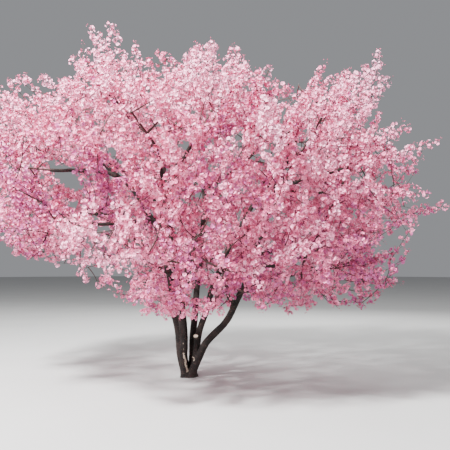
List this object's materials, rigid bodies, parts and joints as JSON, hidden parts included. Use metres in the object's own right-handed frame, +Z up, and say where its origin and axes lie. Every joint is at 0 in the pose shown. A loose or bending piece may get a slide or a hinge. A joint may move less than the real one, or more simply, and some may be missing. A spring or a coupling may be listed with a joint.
{
  "type": "cherry blossom tree",
  "caption": "Multi-stemmed ornamental cherry in full pink blossom: dark leaning stems fan out from one low stool into boughs that carry a broad domed crown of flowering sprays.",
  "frame": {"origin": "middle of the flat cut under the trunk, at ground level", "axes": "+Z up the tree, +X along the crown's greatest width, to the right seen from the front, and -Y towards the front"},
  "size_m": [6.6276, 5.8079, 5.0075],
  "materials": {
    "bark": "dark brown-black cherry bark, matt, slightly rough with pale scars",
    "blossom": "soft pink petals, matt, in dense sprays"
  },
  "bodies": {
    "root": {"trunk": "bark", "stem_left": "bark", "stem_front": "bark", "stem_back": "bark", "stem_right": "bark", "stem_low_right": "bark", "stem_back_left": "bark", "bough_01": "bark", "bough_02": "bark", "bough_03": "bark", "bough_04": "bark", "bough_05": "bark", "bough_06": "bark", "bough_07": "bark", "bough_08": "bark", "bough_09": "bark", "bough_10": "bark", "bough_11": "bark", "bough_12": "bark", "bough_13": "bark", "bough_14": "bark", "bough_17": "bark", "bough_19": "bark", "bough_22": "bark", "bough_23": "bark", "blossom_01": "blossom", "blossom_02": "blossom", "blossom_03": "blossom", "blossom_04": "blossom", "blossom_05": "blossom", "blossom_06": "blossom", "blossom_07": "blossom", "blossom_08": "blossom", "blossom_09": "blossom", "blossom_10": "blossom", "blossom_11": "blossom", "blossom_12": "blossom", "blossom_13": "blossom", "blossom_14": "blossom", "blossom_15": "blossom", "blossom_16": "blossom", "blossom_17": "blossom", "blossom_18": "blossom", "blossom_19": "blossom", "blossom_20": "blossom", "blossom_21": "blossom", "blossom_22": "blossom", "blossom_23": "blossom", "blossom_24": "blossom"}
  },
  "joints": []
}
